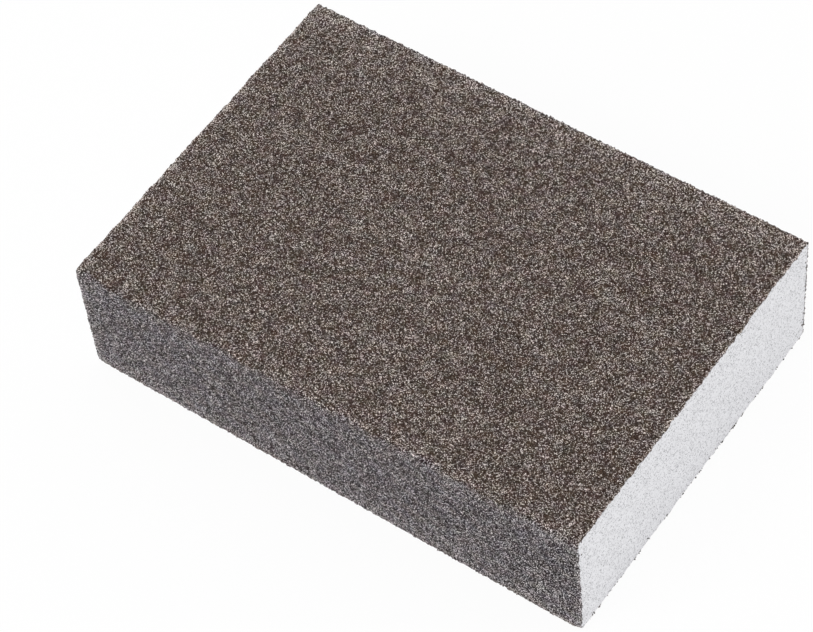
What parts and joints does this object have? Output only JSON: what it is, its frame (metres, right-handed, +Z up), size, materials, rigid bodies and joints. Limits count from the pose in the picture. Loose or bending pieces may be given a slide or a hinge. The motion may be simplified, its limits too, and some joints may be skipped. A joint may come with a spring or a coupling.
{
  "type": "sanding sponge",
  "caption": "Rectangular foam hand-sanding block with abrasive grit on its broad faces and long sides and bare foam at both ends.",
  "frame": {"origin": "middle of the block's underside, on the surface it rests on", "axes": "+X along the block's length towards one bare end, +Y across its width, +Z up through its thickness"},
  "size_m": [0.1, 0.0694, 0.0262],
  "materials": {
    "foam_core": "matte",
    "grit_coat": "matte"
  },
  "bodies": {
    "root": {"foam_core": "foam_core", "grit_coat": "grit_coat"}
  },
  "joints": []
}
